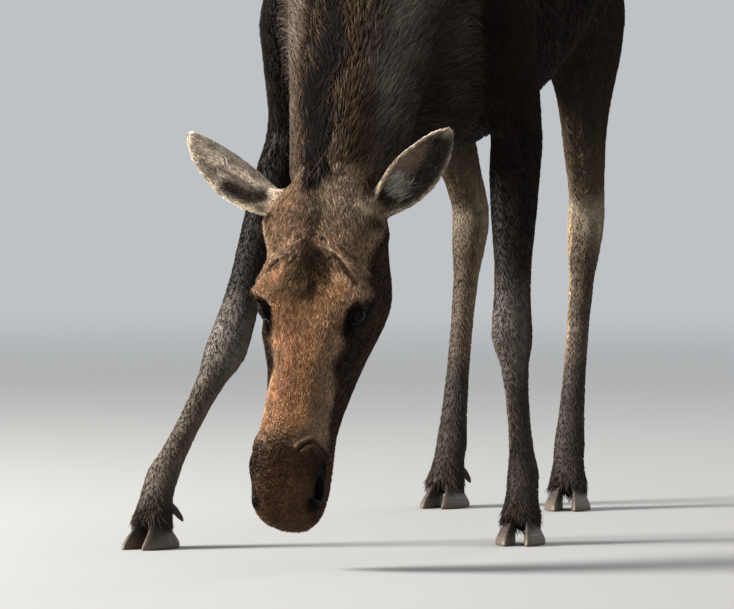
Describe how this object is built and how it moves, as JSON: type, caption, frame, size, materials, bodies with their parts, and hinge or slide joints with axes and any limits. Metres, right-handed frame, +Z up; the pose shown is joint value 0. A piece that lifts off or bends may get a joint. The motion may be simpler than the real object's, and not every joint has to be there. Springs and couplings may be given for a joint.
{
  "type": "moose",
  "caption": "Cow moose standing with its forelegs spread and its head lowered to drink, a still model at life size.",
  "frame": {"origin": "on the floor, under the centre of the whole model's bounding box", "axes": "+Z up; the moose faces -Y; +X is its left"},
  "size_m": [0.824, 2.1868, 1.6467],
  "materials": {
    "dark_coat": "near-black brown hair",
    "neck_coat": "black mane over rust and grey-brown hair",
    "face_coat": "short grey-brown to red-brown hair",
    "ear_coat": "short grey-beige hair, dark and white inside",
    "leg_coat": "short charcoal hair in front, beige behind",
    "hoof_horn": "dark, faintly ringed horn",
    "eye": "wet and glossy, near black"
  },
  "bodies": {
    "root": {"trunk": "dark_coat", "neck": "neck_coat", "head": "face_coat", "tail": "dark_coat", "bell": "dark_coat", "ear_left": "ear_coat", "ear_right": "ear_coat", "eye_left": "eye", "eye_right": "eye", "foreleg_left": "leg_coat", "foreleg_right": "leg_coat", "hindleg_left": "leg_coat", "hindleg_right": "leg_coat", "hoof_foreleg_left_inner": "hoof_horn", "dewclaw_foreleg_left_inner": "hoof_horn", "hoof_foreleg_left_outer": "hoof_horn", "dewclaw_foreleg_left_outer": "hoof_horn", "hoof_foreleg_right_inner": "hoof_horn", "dewclaw_foreleg_right_inner": "hoof_horn", "hoof_foreleg_right_outer": "hoof_horn", "dewclaw_foreleg_right_outer": "hoof_horn", "hoof_hindleg_left_inner": "hoof_horn", "dewclaw_hindleg_left_inner": "hoof_horn", "hoof_hindleg_left_outer": "hoof_horn", "dewclaw_hindleg_left_outer": "hoof_horn", "hoof_hindleg_right_inner": "hoof_horn", "dewclaw_hindleg_right_inner": "hoof_horn", "hoof_hindleg_right_outer": "hoof_horn", "dewclaw_hindleg_right_outer": "hoof_horn"}
  },
  "joints": []
}
